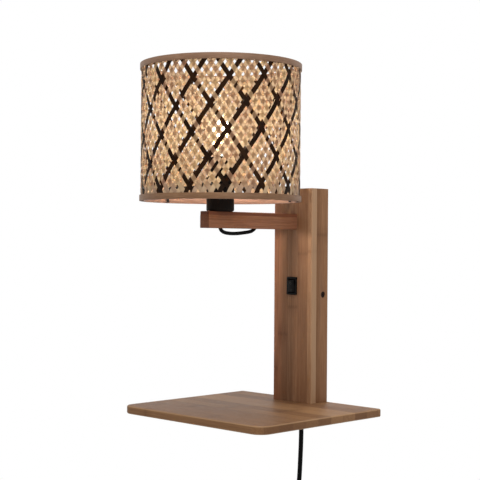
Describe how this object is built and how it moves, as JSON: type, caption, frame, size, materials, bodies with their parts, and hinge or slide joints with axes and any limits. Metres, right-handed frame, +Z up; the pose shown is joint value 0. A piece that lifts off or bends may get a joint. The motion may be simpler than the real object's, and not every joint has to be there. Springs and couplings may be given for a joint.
{
  "type": "wall lamp with shelf",
  "caption": "Wall lamp with a bamboo column, a woven drum shade on a short arm, a rocker switch and a shelf board below.",
  "frame": {"origin": "middle of the wall bracket's back face, between its two wall screw holes", "axes": "+Z up, +Y into the wall, the lamp stands out along -Y, +X to the right"},
  "size_m": [0.222, 0.24, 0.6404],
  "materials": {
    "bamboo_light": "satin laminated bamboo, upright grain",
    "bamboo_mid": "satin laminated bamboo",
    "bamboo_dark": "satin carbonised bamboo",
    "steel": "zinc plated",
    "steel_dark": "black coated",
    "plastic_black": "satin black moulded plastic",
    "insulator": "matt insulating body",
    "brass": "plain",
    "glass_clear": "clear",
    "filament": "yellow coated filament",
    "strip_natural": "natural bamboo strip",
    "strip_dark": "dark stained bamboo strip",
    "lead_black": "matt sheath",
    "wire_brown": "insulated wire"
  },
  "bodies": {
    "lamp": {"column_front": "bamboo_light", "column_side_left": "bamboo_mid", "column_side_right": "bamboo_mid", "column_cap": "bamboo_mid", "column_foot": "bamboo_mid", "shelf": "bamboo_light", "shelf_screws": "steel", "wall_bracket": "steel", "side_screws": "steel_dark", "arm_body": "bamboo_mid", "arm_cover": "bamboo_dark", "arm_screw": "steel", "holder_cap": "plastic_black", "holder_sleeve": "plastic_black", "holder_core": "insulator", "holder_contacts": "brass", "holder_nipple": "steel", "nipple_nuts": "steel", "shade_collar": "plastic_black", "bulb_glass": "glass_clear", "bulb_cap": "steel", "bulb_stem": "glass_clear", "bulb_filaments": "filament", "fitter_ring": "steel_dark", "fitter_wires": "steel_dark", "hoop_top_outer": "bamboo_light", "hoop_top_inner": "bamboo_light", "hoop_bottom_outer": "bamboo_light", "hoop_bottom_inner": "bamboo_light", "weave_natural_right": "strip_natural", "weave_natural_left": "strip_natural", "weave_dark_right": "strip_dark", "weave_dark_left": "strip_dark", "switch_housing": "plastic_black", "switch_terminals": "brass", "terminal_block": "insulator", "core_wires": "wire_brown", "arm_lead": "lead_black", "cord_inner": "lead_black", "cord_relief": "plastic_black", "mains_cord": "lead_black", "cord_coil": "lead_black", "cord_tie": "plastic_black", "plug_body": "plastic_black", "plug_pins": "steel"},
    "rocker": {"switch_rocker": "plastic_black"}
  },
  "joints": [
    {"name": "rocker_tilt", "type": "hinge", "parent": "lamp", "child": "rocker", "pos_m": [0, -0.0284, 0.01], "axis": [1, 0, 0], "range_deg": [-20, 0]}
  ]
}
